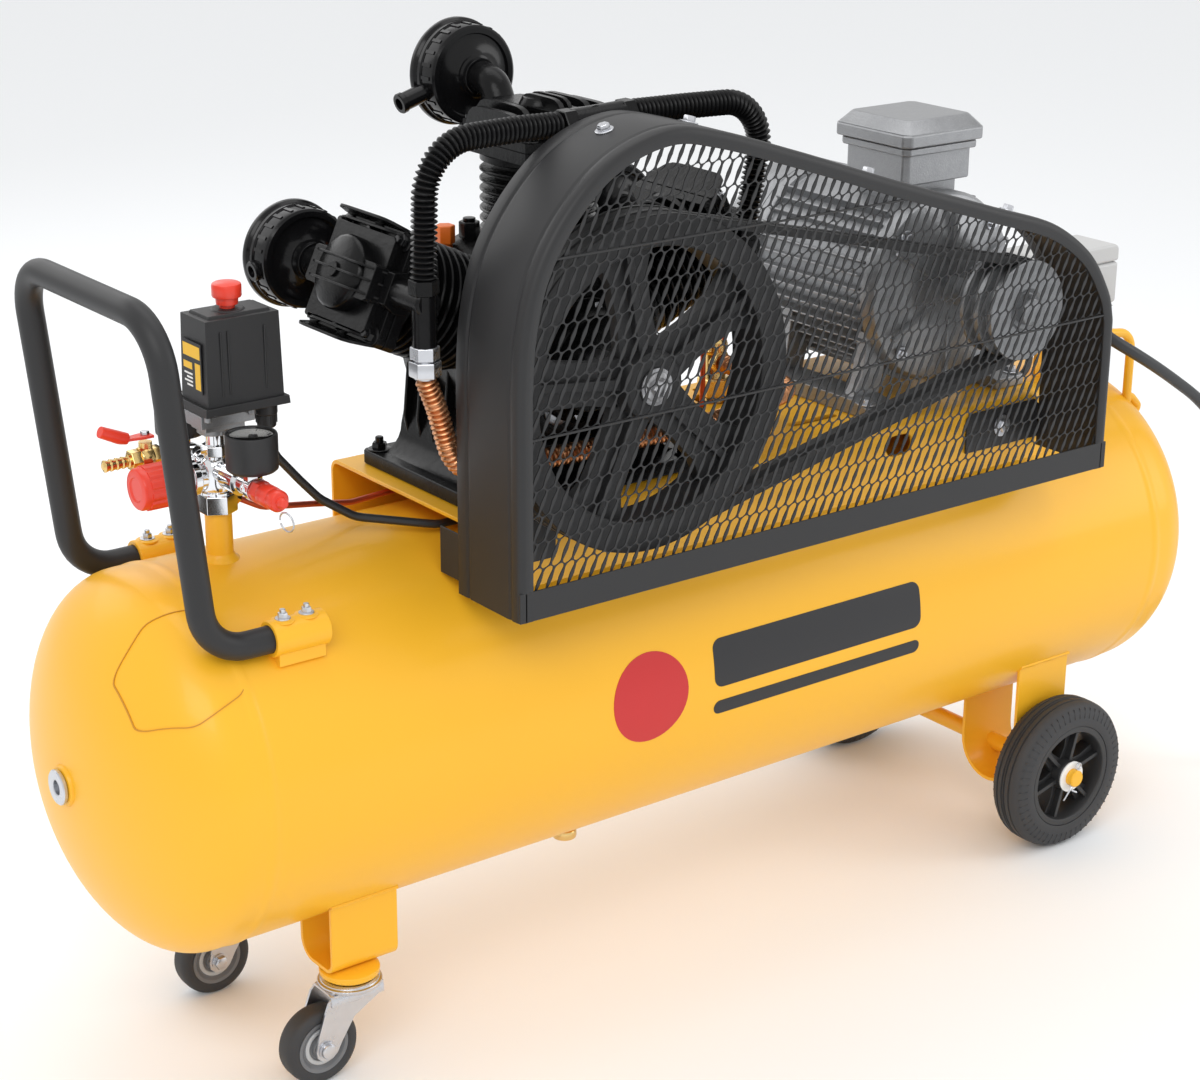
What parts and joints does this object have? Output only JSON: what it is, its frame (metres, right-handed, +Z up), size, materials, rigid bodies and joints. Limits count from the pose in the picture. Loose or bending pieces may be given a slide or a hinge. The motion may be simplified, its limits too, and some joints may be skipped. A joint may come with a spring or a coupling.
{
  "type": "air compressor",
  "caption": "Belt-driven piston air compressor: a W-pattern pump and an electric motor on a horizontal wheeled receiver, with a mesh belt guard and a push handle",
  "frame": {"origin": "on the floor, under the middle of the object's box with the power cable left out", "axes": "+X along the receiver from the handle end to the motor end, -Y towards the belt guard, +Z up"},
  "size_m": [1.6425, 0.4126, 0.915],
  "materials": {
    "yellow_paint": "gloss powder coat",
    "charcoal_paint": "satin powder coat",
    "black_cast": "gloss black paint over casting",
    "black_pipe": "satin black",
    "chrome": "polished",
    "zinc": "zinc plated",
    "steel": "machined",
    "brass": "polished",
    "copper": "copper tube, drawn",
    "tread_rubber": "matte",
    "belt_rubber": "matte",
    "cable_rubber": "satin",
    "red_plastic": "gloss",
    "orange_plastic": "gloss",
    "black_plastic": "fine texture",
    "grey_plastic": "satin",
    "motor_alloy": "cast, grey lacquer"
  },
  "bodies": {
    "root": {"tank_shell": "yellow_paint", "inspection_plug": "zinc", "base_plate": "yellow_paint", "leg_near": "yellow_paint", "leg_far": "yellow_paint", "rear_bracket_near": "yellow_paint", "rear_bracket_far": "yellow_paint", "rear_axle": "yellow_paint", "handle_tube": "charcoal_paint", "cable_hook": "yellow_paint", "manifold": "chrome", "outlet_valve_body": "brass", "gauge_front": "black_plastic", "gauge_rear": "black_plastic", "safety_valve": "red_plastic", "unloader_tube": "copper", "switch_base": "motor_alloy", "switch_cover": "black_plastic", "switch_cable": "cable_rubber", "crankcase": "black_cast", "cylinder_left": "black_cast", "cylinder_centre": "black_cast", "cylinder_right": "black_cast", "head_left": "black_cast", "head_centre": "black_cast", "head_right": "black_cast", "filter_left": "black_cast", "filter_centre": "black_cast", "filter_right": "black_cast", "discharge_left": "black_pipe", "discharge_right": "black_pipe", "delivery_pipe": "copper", "check_valve": "brass", "motor_body": "motor_alloy", "terminal_box": "motor_alloy", "v_belt_front": "belt_rubber", "v_belt_rear": "belt_rubber", "guard_shell": "charcoal_paint", "guard_mesh": "charcoal_paint", "starter_box": "grey_plastic", "power_cable": "cable_rubber", "cable_coil": "cable_rubber", "power_plug": "cable_rubber"},
    "caster_near": {"caster_fork_near": "zinc"},
    "caster_near_roll": {"caster_wheel_near": "tread_rubber"},
    "caster_far": {"caster_fork_far": "zinc"},
    "caster_far_roll": {"caster_wheel_far": "tread_rubber"},
    "wheel_near": {"rear_wheel_near": "tread_rubber"},
    "wheel_far": {"rear_wheel_far": "tread_rubber"},
    "crank": {"crankshaft": "steel", "flywheel": "charcoal_paint"},
    "motor_rotor": {"motor_pulley": "motor_alloy"},
    "drain": {"drain_valve": "brass"},
    "filler_cap": {"oil_cap": "orange_plastic"},
    "switch_button": {"switch_knob": "red_plastic"},
    "regulator": {"regulator_knob": "red_plastic"},
    "outlet_lever": {"outlet_valve_lever": "red_plastic"},
    "needle_front": {"gauge_needle_front": "red_plastic"},
    "needle_rear": {"gauge_needle_rear": "red_plastic"},
    "relief_ring": {"safety_ring": "zinc"}
  },
  "joints": [
    {"name": "caster_near_swivel", "type": "hinge", "parent": "root", "child": "caster_near", "pos_m": [-0.4335, -0.09, 0.092], "axis": [0, 0, 1], "continuous": true},
    {"name": "caster_near_spin", "type": "hinge", "parent": "caster_near", "child": "caster_near_roll", "pos_m": [-0.4695, -0.09, 0.037], "axis": [0, 1, 0], "continuous": true},
    {"name": "caster_far_swivel", "type": "hinge", "parent": "root", "child": "caster_far", "pos_m": [-0.4335, 0.11, 0.092], "axis": [0, 0, 1], "continuous": true},
    {"name": "caster_far_spin", "type": "hinge", "parent": "caster_far", "child": "caster_far_roll", "pos_m": [-0.4695, 0.11, 0.037], "axis": [0, 1, 0], "continuous": true},
    {"name": "rear_wheel_near_spin", "type": "hinge", "parent": "root", "child": "wheel_near", "pos_m": [0.4305, -0.155, 0.084], "axis": [0, 1, 0], "continuous": true},
    {"name": "rear_wheel_far_spin", "type": "hinge", "parent": "root", "child": "wheel_far", "pos_m": [0.4305, 0.175, 0.084], "axis": [0, 1, 0], "continuous": true},
    {"name": "crank_spin", "type": "hinge", "parent": "root", "child": "crank", "pos_m": [-0.1648, -0.167, 0.6322], "axis": [0, 1, 0], "continuous": true},
    {"name": "motor_spin", "type": "hinge", "parent": "root", "child": "motor_rotor", "pos_m": [0.3001, -0.167, 0.6283], "axis": [0, 1, 0], "continuous": true},
    {"name": "drain_turn", "type": "hinge", "parent": "root", "child": "drain", "pos_m": [-0.1165, 0.01, 0.11], "axis": [0, 0, 1], "range_deg": [0, 360]},
    {"name": "oil_cap_turn", "type": "hinge", "parent": "root", "child": "filler_cap", "pos_m": [-0.2155, 0.062, 0.72], "axis": [0, 0, 1], "range_deg": [0, 360]},
    {"name": "switch_button_slide", "type": "slide", "parent": "root", "child": "switch_button", "axis": [0, 0, 1], "range_m": [0, 0.005]},
    {"name": "regulator_turn", "type": "hinge", "parent": "root", "child": "regulator", "pos_m": [-0.5465, 0.015, 0.561], "axis": [-1, 0, 0], "range_deg": [0, 360]},
    {"name": "outlet_lever_turn", "type": "hinge", "parent": "root", "child": "outlet_lever", "pos_m": [-0.5385, 0.048, 0.595], "axis": [0, 0, 1], "range_deg": [0, 90]},
    {"name": "needle_front_turn", "type": "hinge", "parent": "root", "child": "needle_front", "pos_m": [-0.4915, -0.055, 0.6125], "axis": [0, 0, -1], "range_deg": [0, 270]},
    {"name": "needle_rear_turn", "type": "hinge", "parent": "root", "child": "needle_rear", "pos_m": [-0.4915, 0.072, 0.6125], "axis": [0, 0, -1], "range_deg": [0, 270]},
    {"name": "relief_ring_pull", "type": "slide", "parent": "root", "child": "relief_ring", "axis": [0, -1, 0], "range_m": [0, 0.005], "stiffness_N_per_m": 150}
  ],
  "couplings": [
    {"joint": "motor_spin", "follows": "crank_spin", "ratio": 3.267}
  ]
}
